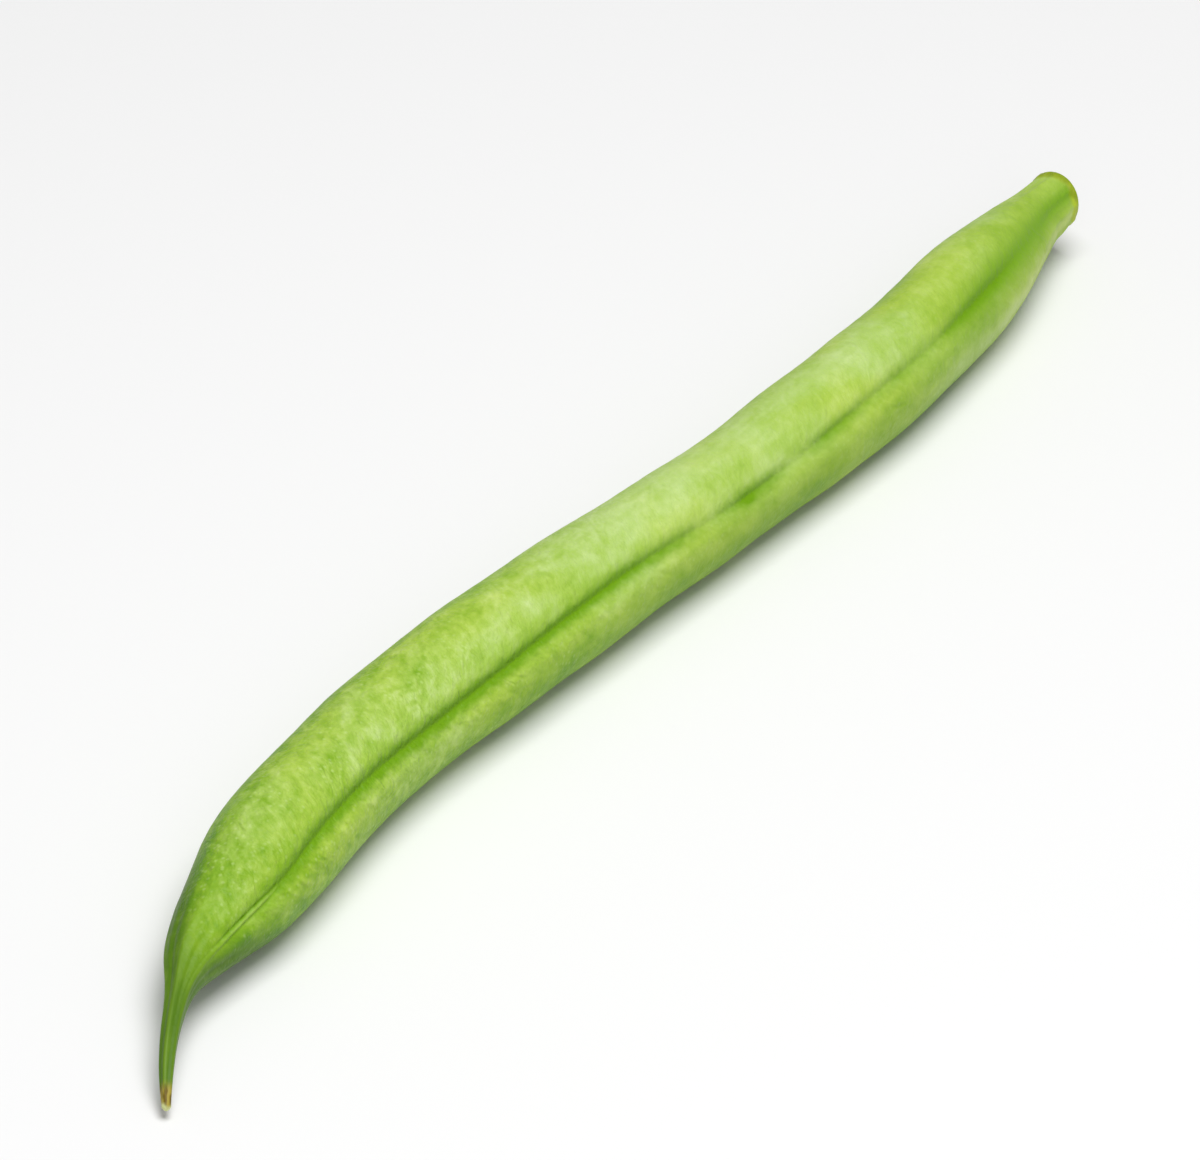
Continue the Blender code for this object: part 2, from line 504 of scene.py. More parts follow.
print("lumps from", round(lumps.min(), 3), "to", round(lumps.max(), 3), "mm")

# %% [markdown]
# The beak doesn't leave the body in its middle. Below the seam the shoulder is fuller and runs
# further down the beak, and above it the root is a little hollow.

# %% The root of the beak
ROOT_FULLNESS = (  # distance past the shoulder, and millimetres added below the seam
    (-12, 0.0),
    (-8, 0.02),
    (-5, 0.2),
    (-2, 0.42),
    (2, 0.5),
    (5, 0.34),
    (9, 0.1),
    (13, 0.0),
)
LOWER_SIDE = math.radians(75)
HOLLOW_SHARE = 0.3  # how deep the hollow above is, as a share of the fullness below
root_fullness = smooth_list(ROOT_FULLNESS, past_shoulder, 1.2)
from_lower = wrapped(angle - LOWER_SIDE)
hollow = HOLLOW_SHARE * bump(np.abs(from_lower), math.pi, 0.8)
root = root_fullness * (bump(from_lower, 0, 0.95) - hollow)
print("the root is up to", round(root.max(), 2), "mm fuller below the seam")

# %% [markdown]
# The neck ends in a collar, left by the stalk. It stands out a little past the neck, with a fine
# groove under it, and isn't quite round. Just before the collar, below the seam, the neck is a
# little fuller. The end isn't square to the neck either: it slants.

# %% The neck's collar
COLLAR_HEIGHT, GROOVE_DEPTH = 0.09, 0.03
OUT_OF_ROUND = 0.03
NECK_FULLNESS = 0.17
SLANT = 0.33
unevenness = 0.11 * np.cos(3 * angle + 1.0) + 0.06 * np.cos(7 * angle + 2.0)
to_collar = to_end + unevenness * ease(to_end, 0, 0.5)
collar = COLLAR_HEIGHT * ease(to_collar, 0.88, 0.60)
collar -= GROOVE_DEPTH * bump(to_collar, 0.98, 0.14)
collar += OUT_OF_ROUND * np.cos(3 * angle + 0.6) * ease(to_end, 2, 0)
collar += NECK_FULLNESS * bump(to_end, 2.3, 1.2) * bump(from_lower, 0, 0.8)
neck_share = radius / fine_radius[-1]
collar *= neck_share
slant = SLANT * (1 - np.cos(from_lower) * neck_share) * ease(to_end, 3.5, 0.3)
print("the collar is up to", round(collar[to_end < 1].max(), 2), "mm high")

# %% [markdown]
# Added up, all of that is the relief. Where the blank is thin the relief is scaled down with it,
# and no point is carved past the axis.

# %% The relief together
NECK_END = 8  # the collar's terms count only this near to the end
on_wall = seeds + seam + back_rib + ribs + lumps + root
relief = np.where(wall, on_wall, 0) + collar * (to_end < NECK_END)
carved = np.maximum(radius + relief * np.clip(radius / THIN, 0, 1), 0)
print("the skin's radius is", round(carved.max(), 2), "mm at most")

# %% [markdown]
# ## Bending
#
# Now each point of the straight pod goes to its place on the bent one. At its distance along the
# middle line there are three directions: the way that the line runs, the seam's side, and the
# one square to both. The last step presses the skin flat where it would reach through the table.

# %% Bend the pod along its middle line
def read_along(rows):
    """Reads rows of three numbers, known every FINE_GAP, at each point's distance along."""
    return np.stack([np.interp(along, fine_along, column) for column in rows.T], axis=1)


place_on_line = read_along(fine_line)
line_turn = read_along(np.gradient(fine_line, axis=0))
line_turn /= np.linalg.norm(line_turn, axis=1, keepdims=True)
seam_angle = np.interp(along, fine_along, fine_seam)
seam_side = np.stack([0 * along, -np.cos(seam_angle), np.sin(seam_angle)], axis=1)
seam_side -= line_turn * np.sum(seam_side * line_turn, axis=1, keepdims=True)
seam_side /= np.linalg.norm(seam_side, axis=1, keepdims=True)
cross_side = np.cross(line_turn, seam_side)
points = place_on_line + line_turn * slant[:, None]
points += seam_side * (carved * np.cos(angle))[:, None]
points += cross_side * (carved * np.sin(angle))[:, None]
points[:, 2] = np.maximum(points[:, 2], 0)
mesh.vertices.foreach_set("co", (points * MM).ravel())
mesh.update()
print("bent, lowest point", round(points[:, 2].min(), 3), "mm")

# %% [markdown]
# ## What the material has to know
#
# A pattern on a bent object should follow it, as the grain of a bent stick does. So the places on
# the straight pod are kept on the mesh as an attribute, and the patterns read that. A second set,
# sheared round the pod, is for the patterns that run across it at a slant.

# %% Keep the straight places
for name, places in (("straight", straight), ("slanted", slanted)):
    layer = mesh.attributes.new(name, "FLOAT_VECTOR", "POINT")
    layer.data.foreach_set("vector", places.astype(np.float32).ravel())
print("kept two sets of places for", count, "points")

# %% [markdown]
# A pod isn't one green all over. Its own tone changes along it and turns deeper towards the beak.
# Over that, light and shade are painted in. The crown, a little above the seam, is painted palest
# as painted light, and the sides away from it are painted deeper as painted shade. The lobe below
# the seam gets painted light and shade that change along the pod, and near the neck a pale stripe
# along it is a painted reflection. Out towards both edges the green is painted deeper as shade, but
# near the neck the upper edge is paler, a painted reflection. All of that adds up to one number for
# each point, its paleness with painted light and shade.

# %% How pale the body is, with painted light and shade
PALENESS = (  # distance past the shoulder, and how pale the body is there, from 0 to 1
    (-10, 0.20),
    (0, 0.22),
    (7, 0.31),
    (16, 0.60),
    (36, 0.56),
    (50, 0.61),
    (70, 0.61),
    (79, 0.65),
    (88, 0.60),
    (98, 0.455),
    (108, 0.54),
    (119, 0.54),
)
# Painted light and shade on the lobe below the seam: above 0 it is painted paler, below 0 deeper.
LOWER_LOBE_PAINTED_LIGHT_AND_SHADE = (  # distance past the shoulder, and how much paler the lobe below the seam is
    (8, 0.0),
    (16, 0.06),
    (48, 0.07),
    (58, 0.0),
    (64, -0.07),
    (72, -0.07),
    (78, -0.02),
    (86, -0.10),
    (94, -0.09),
    (100, 0.0),
)
CROWN_ANGLE, CROWN_REACH = math.radians(-27), math.radians(66)
LOBE_ANGLE = math.radians(21)
# Painted light and shade at the edges: a pale painted reflection on the upper edge near the neck,
# and painted shade on the far edge of the first half and on the lower edge.
PAINTED_EDGE_LIGHT_AND_SHADE = (  # change of paleness, degrees round, width in radians, where it starts and is full
    (0.14, -78, 0.40, 97, 107),
    (-0.11, -105, 0.36, 56, 24),
    (-0.15, 63, 0.38, 84, 60),
    (-0.10, 60, 0.46, 22, 8),
)
# A pale stripe below the seam near the neck: a painted reflection of the white table in the wax.
PAINTED_REFLECTION_PALENESS, PAINTED_REFLECTION_WIDTH = 0.38, 0.27
crown = np.exp(-((wrapped(angle - CROWN_ANGLE) / CROWN_REACH) ** 4))
# The crown's term is painted light on the crown and painted shade away from it.
paleness_with_painted_light = smooth_list(PALENESS, past_shoulder) + 0.24 * (crown - 0.85)
# Painted light and shade on the lobe below the seam.
paleness_with_painted_light += smooth_list(LOWER_LOBE_PAINTED_LIGHT_AND_SHADE, past_shoulder) * bump(angle, LOBE_ANGLE, 0.21)
# The stripe of painted reflection.
painted_reflection_angle = np.radians(52 - 5 * ease(past_shoulder, 100, 110))
painted_reflection = bump(angle, painted_reflection_angle, PAINTED_REFLECTION_WIDTH) * ease(past_shoulder, 80, 99)
paleness_with_painted_light += PAINTED_REFLECTION_PALENESS * painted_reflection
# Painted reflection and painted shade along the edges.
for change, degrees, width, start, full in PAINTED_EDGE_LIGHT_AND_SHADE:
    painted_edge = bump(angle, math.radians(degrees), width) * ease(past_shoulder, start, full)
    paleness_with_painted_light += change * painted_edge
print("paleness from", round(paleness_with_painted_light.min(), 2), "to", round(paleness_with_painted_light.max(), 2))

# %% [markdown]
# The crease is dark: partly the seam line's own deeper green, partly painted shade. Round it lies a
# soft band of painted shade, whose width changes along the pod. One dark dot lies in it, where the
# crease starts again after a gap. Close to the beak, where the crease is split, only the two creases
# themselves are dark. A wider painted shade lies in the seam at the neck, and another just above
# the seam at the shoulder.

# %% The band of painted shade, and the painted shade at the neck and the shoulder
PAINTED_SHADE_BAND_WIDTH = (  # distance past the shoulder, and half the band's width in radians
    (0, 0.165),
    (20, 0.175),
    (26, 0.20),
    (32, 0.20),
    (40, 0.145),
    (52, 0.15),
    (60, 0.22),
    (74, 0.21),
    (80, 0.17),
    (87, 0.23),
    (96, 0.20),
    (104, 0.165),
)
DOT_PLACE, DOT_LENGTH = 68.2, 0.6
# A band of painted shade round the crease.
painted_shade_band = crease_strength * bump(from_seam, -0.01, smooth_list(PAINTED_SHADE_BAND_WIDTH, past_shoulder))
painted_shade_band += 0.6 * bump(past_shoulder, DOT_PLACE, DOT_LENGTH) * bump(from_seam, 0.03, 0.10)
# Painted shade in the seam at the neck, and just above the seam at the shoulder.
neck_painted_shade = at_neck * bump(from_seam, -0.02, 0.42) * ease(past_shoulder, 92, 101)
at_shoulder = ease(past_shoulder, 1, 5) * ease(past_shoulder, 20, 9)
shoulder_painted_shade = 0.5 * bump(from_seam, -0.12, 0.19) * at_shoulder
print("the band is up to", max(width for _, width in PAINTED_SHADE_BAND_WIDTH), "radians wide on each side")

# %% [markdown]
# The rest are masks from 0 to 1, each the place of one colour: the ridge, the beak and its fibres,
# the dried tip, the collar's rim and the scar. The crinkle is how strong the fine mottle is. It is
# strongest near the shoulder and fades towards the neck. All of them are kept on the mesh by name.

# %% Keep the masks
# The lower side of the pod's first half, to be tinted yellower as painted shade.
painted_under_shade = bump(angle, math.radians(42), 0.75)
painted_under_shade = painted_under_shade * ease(past_shoulder, 4, 12) * ease(past_shoulder, 64, 44)
MASKS = {
    # The crease mask takes in the band of painted shade round the crease.
    "crease": np.where(forked > 0.5, crease, np.maximum(crease, painted_shade_band)),
    # Where the seam's valley is painted deeper green, as painted shade.
    "valley": fullness * bump(from_seam, -0.09, 0.24) * ease(past_shoulder, 70, 40),
    "ridge": ridge,
    "back_seam": fullness * bump(from_back, 0, 0.075),
    "paleness_with_painted_light": paleness_with_painted_light,
    "painted_under_shade": painted_under_shade,
    "crinkle": (1 - 0.6 * ease(past_shoulder, 22, 70)) * ease(past_shoulder, -4, 6),
    # Painted shade at the neck and the shoulder.
    "painted_shade": neck_painted_shade + shoulder_painted_shade,
    # Away from the crown the beak's deeper green reaches further over the shoulder, partly as
    # painted shade on its far and lower sides.
    "beak": ease(past_shoulder + 9 * (crown - 0.64), 6, -2),
    "fibre": ease(rib_wave, 0.1, 1.0) * ease(past_shoulder, 4, -1),
    "tip": ease(along, 2.1, 1.2),
    "speck": ease(along + 0.16 * np.cos(2 * angle + 1), 0.46, 0.12),
    "rim": ease(to_collar, 1.02, 0.66) * wall + ~wall * ease(radius, 1.3, 1.9),
    "scar": ~wall * ease(radius, 1.9, 1.5),
    "scar_ring": ~wall * bump(neck_share, 0.62, 0.12),
}
for name, values in MASKS.items():
    layer = mesh.attributes.new(name, "FLOAT", "POINT")
    layer.data.foreach_set("value", np.asarray(values, np.float32))
print("masks:", ", ".join(MASKS))

# %% [markdown]
# ## A map for the skin
#
# A flat map of the skin is cut along the pod's back and once across its middle. The two halves then
# lie one above the other and fill a square. A point's place on the map is just its distance along
# the outline and its angle. At the two poles, where the faces are triangles, the pole's corner
# takes the middle of its neighbours' angles.

# %% Lay out the map
MAP_EDGE = 0.004
HALF_WIDTH = 0.995  # the share of the square's width that each half fills
outline_steps = np.hypot(np.diff(station_places), np.diff(station_radii))
outline_length = np.concatenate([[0], np.cumsum(outline_steps)])
loop_count = len(mesh.loops)
loop_vertex = np.empty(loop_count, np.int32)
mesh.loops.foreach_get("vertex_index", loop_vertex)
face_start = np.empty(len(mesh.polygons), np.int32)
face_size = np.empty(len(mesh.polygons), np.int32)
mesh.polygons.foreach_get("loop_start", face_start)
mesh.polygons.foreach_get("loop_total", face_size)
loop_face = np.repeat(np.arange(len(face_start)), face_size)
loop_station = station[loop_vertex]
at_pole = (loop_station == 0) | (loop_station == len(station_places) - 1)
turn_share = even_angle[loop_vertex] / (2 * math.pi) + 0.5


def face_range(values, chosen):
    """The least and the greatest value in each corner's face, among the face's chosen corners."""
    least = np.full(len(face_start), np.inf)
    greatest = np.full(len(face_start), -np.inf)
    np.minimum.at(least, loop_face[chosen], values[chosen])
    np.maximum.at(greatest, loop_face[chosen], values[chosen])
    return least[loop_face], greatest[loop_face]


least, greatest = face_range(turn_share, ~at_pole)
over_the_cut = (greatest - least > 0.5) & (turn_share < 0.5)
turn_share = turn_share + over_the_cut
least, greatest = face_range(turn_share, ~at_pole)
turn_share = np.where(at_pole, (least + greatest) / 2, turn_share)
loop_along = outline_length[loop_station] / outline_length[-1]
face_end = face_range(loop_along, np.full(loop_count, True))[1]
first_half = face_end <= 0.5 + 1e-3
half_along = 2 * loop_along - np.where(first_half, 0, 1)
map_u = MAP_EDGE + (1 - 2 * MAP_EDGE) * half_along * HALF_WIDTH
map_v = MAP_EDGE + (0.5 - 2 * MAP_EDGE) * turn_share + np.where(first_half, 0, 0.5)
skin_map = mesh.uv_layers.new(name="OFBake")
skin_map.uv.foreach_set("vector", np.stack([map_u, map_v], 1).astype(np.float32).ravel())
print("map across from", round(map_u.min(), 3), "to", round(map_u.max(), 3))
print("map up from", round(map_v.min(), 3), "to", round(map_v.max(), 3))

# %% [markdown]
# ## The material
#
# Bean skin is a thin waxy film over wet green tissue. Light goes in a little way and comes out
# again, so the skin looks soft, and the wax gives it a broad dull shine. The Principled shader
# has both. What makes it a bean is the colour: yellow-green on the crown of the body, with painted
# light making it palest there, deeper green in the seam, partly as painted shade, and at the beak,
# mottled at several sizes.
#
# A few small helpers keep the node code short. `add` makes a node and fills its inputs, linking
# those that are given another node's output. `blend` mixes two colours by a mask, `between` turns
# a range of values into such a mask, and `speckle` is a noise that lies on the straight pod.

# %% Helpers for nodes
def add(tree, kind, inputs=(), **settings):
    """Makes a node, sets its settings, and fills or links its inputs. Returns the node."""
    made = tree.nodes.new(kind)
    for name, value in settings.items():
        setattr(made, name, value)
    for name, value in dict(inputs).items():
        if isinstance(value, bpy.types.NodeSocket):
            tree.links.new(value, made.inputs[name])
        else:
            made.inputs[name].default_value = value
    return made


def mask(tree, name):
    """The value of a mask that the mesh holds."""
    return add(tree, "ShaderNodeAttribute", attribute_name=name).outputs["Fac"]


def math_node(tree, operation, first, second=0.0, clamp=False):
    """The result of a sum on one or two numbers or outputs."""
    return add(
        tree,
        "ShaderNodeMath",
        {0: first, 1: second},
        operation=operation,
        use_clamp=clamp,
    ).outputs[0]


def share(tree, name, amount):
    """A mask of the mesh, times an amount, held between 0 and 1."""
    return math_node(tree, "MULTIPLY", mask(tree, name), amount, clamp=True)


def blend(tree, amount, below, above, way="MIX"):
    """Lays one colour over another by an amount."""
    made = add(
        tree,
        "ShaderNodeMix",
        {"Factor": amount, "A": (0, 0, 0, 1), "B": (0, 0, 0, 1)},
        data_type="RGBA",
        blend_type=way,
    )
    for slot, colour in ((6, below), (7, above)):
        if isinstance(colour, bpy.types.NodeSocket):
            tree.links.new(colour, made.inputs[slot])
        else:
            made.inputs[slot].default_value = (*colour, 1)
    return made.outputs[2]


def between(tree, value, low, high):
    """0 where the value is low or less, 1 where it is high or more."""
    return add(
        tree,
        "ShaderNodeMapRange",
        {"Value": value, "From Min": low, "From Max": high},
        interpolation_type="SMOOTHSTEP",
    ).outputs["Result"]


def speckle(tree, places, scale, stretch=(1, 1, 1), detail=2.0, waviness=0.0):
    """Noise on the straight pod: scale is in spots per millimetre."""
    stretched = add(tree, "ShaderNodeMapping", {"Vector": places, "Scale": stretch})
    return add(
        tree,
        "ShaderNodeTexNoise",
        {
            "Vector": stretched.outputs[0],
            "Scale": scale,
            "Detail": detail,
            "Distortion": waviness,
        },
    ).outputs["Fac"]


print("helpers ready")

# %% [markdown]
# The colours are linear, as Blender's sockets take them. One number, the tone, says how pale the
# body is at a point, and a colour ramp turns it into a green. The tone is a sum: the paleness with
# painted light and shade that the mesh keeps, then clouds several millimetres across, a mottle and
# faint streaks along the pod. The finer mottle, the pepper and the ripples are read from the slanted
# places, and fade as the crinkle does. A sum is easy to balance, one term at a time. Last, broad
# patches are a little warmer or cooler, and the lower side of the pod's first half is tinted
# yellower, as painted shade.

# %% The body's green
GREENS = (  # tone, colour
    (0.0, (0.12, 0.285, 0.005)),
    (0.3, (0.22, 0.395, 0.018)),
    (0.6, (0.36, 0.525, 0.080)),
    (1.0, (0.56, 0.69, 0.25)),
)
TONES = (  # patches per millimetre, stretch, detail, strength
    (0.12, (0.6, 1, 1), 2.0, 0.65),
    (0.4, (0.9, 1, 1), 1.0, 0.30),
    (1.2, (0.06, 1, 1), 2.0, 0.16),
)
FINE_TONES = (  # the same, for the patterns that are strongest at the shoulder
    (0.55, (0.9, 1.0, 1.0), 1.0, 0.58),
    (1.2, (1.0, 1.0, 1.0), 2.0, 0.58),
    (3.0, (1.0, 1.0, 1.0), 1.0, 0.22),
)
RIPPLE_SCALE, RIPPLE_TURNS, RIPPLE_TONE = 0.35, 42.0, 0.06
WARM, COOL = (1.015, 1.0, 0.78), (0.985, 1.0, 1.18)
# The yellower tint of painted shade on the lower side.
PAINTED_UNDER_SHADE_TINT = (0.97, 1.02, 0.74)


def ripples(tree, slants):
    """Wavy lines about a millimetre apart, like the contour lines of a map, from -1 to 1."""
    hills = speckle(tree, slants, RIPPLE_SCALE, (1.0, 0.8, 0.8), 1.0, 0.4)
    waves = math_node(tree, "SINE", math_node(tree, "MULTIPLY", hills, RIPPLE_TURNS))
    here_and_there = between(tree, speckle(tree, slants, 0.45), 0.30, 0.62)
    return math_node(tree, "MULTIPLY", waves, here_and_there)


def patches(tree, places, scale, stretch, detail, waviness=0.0):
    """A speckle whose mean is 0, so that it makes a tone neither paler nor deeper on the whole."""
    return math_node(
        tree, "SUBTRACT", speckle(tree, places, scale, stretch, detail, waviness), 0.5
    )


def add_part(tree, value, pattern, strength):
    """Adds a pattern to a value, as strongly as asked."""
    return math_node(tree, "ADD", value, math_node(tree, "MULTIPLY", pattern, strength))


def body_tone(tree, places, slants):
    """How pale the pod's body is at a point, with all of its patterns."""
    tone = mask(tree, "paleness_with_painted_light")
    for scale, stretch, detail, strength in TONES:
        tone = add_part(tree, tone, patches(tree, places, scale, stretch, detail), strength)
    for scale, stretch, detail, strength in FINE_TONES:
        pattern = patches(tree, slants, scale, stretch, detail, 0.3)
        pattern = math_node(tree, "MULTIPLY", pattern, mask(tree, "crinkle"))
        tone = add_part(tree, tone, pattern, strength)
    waves = math_node(tree, "MULTIPLY", ripples(tree, slants), mask(tree, "crinkle"))
    return add_part(tree, tone, waves, RIPPLE_TONE)


def body_green(tree, places, slants):
    """The green of the pod's body."""
    ramp = add(tree, "ShaderNodeValToRGB", {"Fac": body_tone(tree, places, slants)})
    stops = ramp.color_ramp.elements
    while len(stops) < len(GREENS):
        stops.new(0.5)
    for stop, (place, colour) in zip(stops, GREENS, strict=True):
        stop.position = place
        stop.color = (*colour, 1)
    warmth = between(tree, speckle(tree, places, 0.16, (0.5, 1, 1), 3.0), 0.36, 0.64)
    green = blend(tree, 1.0, ramp.outputs["Color"], blend(tree, warmth, WARM, COOL), "MULTIPLY")
    # Painted shade: the lower side tinted yellower.
    return blend(tree, share(tree, "painted_under_shade", 1.0), green, PAINTED_UNDER_SHADE_TINT, "MULTIPLY")


print(len(GREENS), "greens,", len(TONES) + len(FINE_TONES), "tones")

# %% [markdown]
# Pale dots smaller than half a millimetre lie over the green, thickest near the shoulder. They are
# the pod's pores. Each cell of a Voronoi texture has one dot, and a broad speckle thins the dots
# out from place to place.

# %% Pores
PORE_GREEN = (0.56, 0.72, 0.27)
PORE_SHARE = 0.31  # how far a dot covers the green below it, at most


def pores(tree, places, colour):
    """Lays small pale dots over the green."""
    cells = add(tree, "ShaderNodeTexVoronoi", {"Vector": places, "Scale": 2.0})
    dots = between(tree, cells.outputs["Distance"], 0.38, 0.08)
    thick = math_node(tree, "ADD", speckle(tree, places, 0.4), share(tree, "beak", 0.4))
    dots = math_node(tree, "MULTIPLY", dots, between(tree, thick, 0.34, 0.60))
    dots = math_node(tree, "MULTIPLY", dots, share(tree, "crinkle", PORE_SHARE))
    return blend(tree, dots, colour, PORE_GREEN)


print("pores cover the green by up to", PORE_SHARE)

# %% [markdown]
# The seam is laid over that by the masks. Its valley, and the seam at the neck and the shoulder,
# get a deeper green as painted shade. The crease is a deep green, partly its own and partly painted
# shade, with ragged edges: a speckle is added to the mask before it is made steep. The ridge in the
# fork is paler. The seam at the back is a little deeper green along its rib.

# %% The colours of the seam, with painted shade
# The crease's own deeper green, with painted shade.
CREASE_AND_PAINTED_SHADE_GREEN = (0.142, 0.312, 0.001)
# Painted shade in the seam's valley.
VALLEY_PAINTED_SHADE_GREEN = (0.25, 0.45, 0.02)
# Painted shade at the neck and the shoulder, and the back seam's deeper line.
SEAM_LINE_AND_PAINTED_SHADE_GREEN = (0.158, 0.335, 0.010)
RIDGE_GREEN = (0.30, 0.47, 0.07)


def seam_colours(tree, places, colour):
    """Lays the painted shade of the valley, the neck and the shoulder, the back seam's line, the
    crease with its ragged edges and painted shade, and the ridge over the body's green.
    """
    # Painted shade in the valley and at the neck and the shoulder; the back seam is a little deeper
    # green.
    colour = blend(tree, share(tree, "valley", 0.45), colour, VALLEY_PAINTED_SHADE_GREEN)
    colour = blend(tree, share(tree, "painted_shade", 0.92), colour, SEAM_LINE_AND_PAINTED_SHADE_GREEN)
    colour = blend(tree, share(tree, "back_seam", 0.5), colour, SEAM_LINE_AND_PAINTED_SHADE_GREEN)
    ragged = math_node(tree, "SUBTRACT", speckle(tree, places, 1.5, (0.8, 1, 1), 3.0), 0.5)
    ragged = math_node(tree, "MULTIPLY", ragged, share(tree, "crinkle", 1.0))
    crease_edge = math_node(tree, "ADD", mask(tree, "crease"), ragged)
    crease_edge = math_node(tree, "MULTIPLY", crease_edge, share(tree, "crease", 4.0))
    colour = blend(tree, between(tree, crease_edge, 0.05, 0.95), colour, CREASE_AND_PAINTED_SHADE_GREEN)
    return blend(tree, share(tree, "ridge", 0.7), colour, RIDGE_GREEN)


print("the crease is", CREASE_AND_PAINTED_SHADE_GREEN)

# %% [markdown]
# The ends come last. The beak is a cooler, darker green with paler fibres on its ribs, and its tip
# has dried to gold and brown, with a pale speck at the very end. The rim of the scar is olive, and
# yellow in places. The scar itself is pale, with a faint ring and fibres.

# %% The colours of the ends
BEAK_GREEN = (0.072, 0.165, 0.004)
FIBRE_GREEN = (0.15, 0.27, 0.014)
DRIED_GOLD = (0.40, 0.30, 0.045)
DRIED_BROWN = (0.15, 0.075, 0.006)
SPECK_CREAM = (0.62, 0.66, 0.30)
RIM_OLIVE = (0.235, 0.315, 0.010)
RIM_YELLOW = (0.40, 0.50, 0.030)
SCAR_PALE = (0.53, 0.68, 0.22)
SCAR_FIBRE = (0.31, 0.42, 0.08)


def end_colours(tree, places, colour):
    """Lays the beak, its dried tip, the rim and the scar over the rest."""
    fibres = between(tree, speckle(tree, places, 2.6, (0.06, 1, 1), 2.0), 0.40, 0.70)
    fibres = math_node(tree, "MULTIPLY", fibres, 0.45)
    fibres = math_node(tree, "ADD", fibres, share(tree, "fibre", 0.35), clamp=True)
    beak_colour = blend(tree, fibres, BEAK_GREEN, FIBRE_GREEN)
    colour = blend(tree, share(tree, "beak", 0.95), colour, beak_colour)
    streaks = between(tree, speckle(tree, places, 3.4, (0.2, 1, 1), 2.0), 0.42, 0.58)
    dried = blend(tree, streaks, DRIED_GOLD, DRIED_BROWN)
    colour = blend(tree, share(tree, "tip", 0.85), colour, dried)
    colour = blend(tree, mask(tree, "speck"), colour, SPECK_CREAM)
    yellowed = between(tree, speckle(tree, places, 0.5), 0.44, 0.60)
    rim = blend(tree, yellowed, RIM_OLIVE, RIM_YELLOW)
    colour = blend(tree, mask(tree, "rim"), colour, rim)
    rings = between(tree, speckle(tree, places, 1.8, (1, 1, 1), 4.0), 0.4, 0.62)
    scar = blend(tree, math_node(tree, "MULTIPLY", rings, 0.6), SCAR_PALE, SCAR_FIBRE)
    scar = blend(tree, share(tree, "scar_ring", 0.55), scar, SCAR_FIBRE)
    return blend(tree, mask(tree, "scar"), colour, scar)


print("the beak is", BEAK_GREEN)

# %% [markdown]
# The fine surface is too small for the mesh: shallow wrinkles under a millimetre apart, the ripples
# and a grain finer still. A Bump node shades them, strongest where the crinkle is.

# %% The fine surface
BUMP_HEIGHT = 0.22  # in millimetres, for the full range of the pattern
GRAIN_SHARE, RIPPLE_SHARE = 0.25, 0.06  # of the wrinkles' height
BUMP_ALL_OVER, BUMP_WITH_CRINKLE = 0.2, 0.8


def fine_surface(tree, places, slants):
    """Wrinkles, ripples and a fine grain, as a normal for the shader."""
    wrinkles = speckle(tree, slants, 1.2, (1.15, 0.9, 0.9), 2.0, 0.3)
    grain = speckle(tree, places, 4.2, (1, 1, 1), 1.0)
    height = add_part(tree, wrinkles, grain, GRAIN_SHARE)
    height = add_part(tree, height, ripples(tree, slants), RIPPLE_SHARE)
    strength = math_node(tree, "ADD", share(tree, "crinkle", BUMP_WITH_CRINKLE), BUMP_ALL_OVER)
    return add(
        tree,
        "ShaderNodeBump",
        {"Height": height, "Strength": strength, "Distance": BUMP_HEIGHT * MM},
    ).outputs["Normal"]


print("the fine surface is up to", BUMP_HEIGHT, "mm high")

# %% [markdown]
# Now the parts go together in one material. The wax is uneven too, so the roughness changes a
# little from spot to spot. What is the same all over is set on the shader's own sockets: how much
# light goes into the skin and how far, and how strongly the wax shines.

# %% The skin's material
ROUGHNESS = (0.38, 0.58)  # from the shiniest spots to the dullest
SKIN_DEPTH = 0.35  # how far light goes into the skin, in millimetres
RED_GREEN_BLUE_REACH = (0.8, 1.0, 0.25)  # shares of that depth: green goes furthest
WAX_IOR = 1.38


def bean_skin():
    """The bean's skin: mottled green, waxy, slightly see-through."""
    material = bpy.data.materials.new("bean_skin")
    material.use_nodes = True
    tree = material.node_tree
    shader = tree.nodes["Principled BSDF"]
    places = add(tree, "ShaderNodeAttribute", attribute_name="straight").outputs["Vector"]
    slants = add(tree, "ShaderNodeAttribute", attribute_name="slanted").outputs["Vector"]
    colour = pores(tree, places, body_green(tree, places, slants))
    colour = end_colours(tree, places, seam_colours(tree, places, colour))
    wax = speckle(tree, places, 0.9, (1, 1, 1), 3.0)
    roughness = add(
        tree,
        "ShaderNodeMapRange",
        {"Value": wax, "To Min": ROUGHNESS[0], "To Max": ROUGHNESS[1]},
    ).outputs["Result"]
    tree.links.new(colour, shader.inputs["Base Color"])
    tree.links.new(roughness, shader.inputs["Roughness"])
    tree.links.new(fine_surface(tree, places, slants), shader.inputs["Normal"])
    shader.inputs["Subsurface Weight"].default_value = 0.12
    shader.inputs["Subsurface Radius"].default_value = RED_GREEN_BLUE_REACH
    shader.inputs["Subsurface Scale"].default_value = SKIN_DEPTH * MM
    shader.inputs["IOR"].default_value = WAX_IOR
    shader.inputs["Specular IOR Level"].default_value = 0.3
    return material


mesh.materials.append(bean_skin())
print(len(mesh.materials[0].node_tree.nodes), "nodes in the skin's material")

# %% [markdown]
# ## The finished pod
#
# The mesh becomes an object at the origin, because its points are already where they belong. It
# rides on the part's one body and stands for the plain solid, which is hidden.

